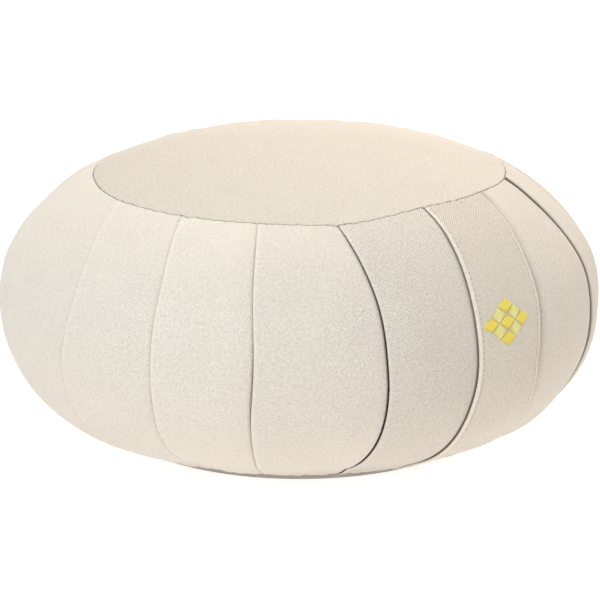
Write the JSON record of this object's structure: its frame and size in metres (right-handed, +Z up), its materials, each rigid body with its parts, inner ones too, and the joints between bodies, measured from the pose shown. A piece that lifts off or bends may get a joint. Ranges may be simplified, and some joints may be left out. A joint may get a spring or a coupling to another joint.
{
  "type": "zafu meditation cushion",
  "caption": "Round, firmly filled meditation cushion with a crowned top panel, a side wall in knife pleats, and a topstitched closing strip.",
  "frame": {"origin": "under the middle of the cushion, on the surface that it rests on", "axes": "+Z up through the middle of both round panels; -Y to the front, where the closing strip is a little to the right; +X to the right as seen from the front"},
  "size_m": [0.3592, 0.3595, 0.1762],
  "materials": {
    "side_cloth": "cream cotton twill, matte",
    "top_cloth": "cream cotton twill, matte",
    "bottom_cloth": "cream cotton twill, matte",
    "strip_cloth": "cream cotton twill, matte, topstitched"
  },
  "bodies": {
    "root": {"filled_pleated_wall": "side_cloth", "top_panel": "top_cloth", "bottom_panel": "bottom_cloth", "closure_strip": "strip_cloth"}
  },
  "joints": []
}
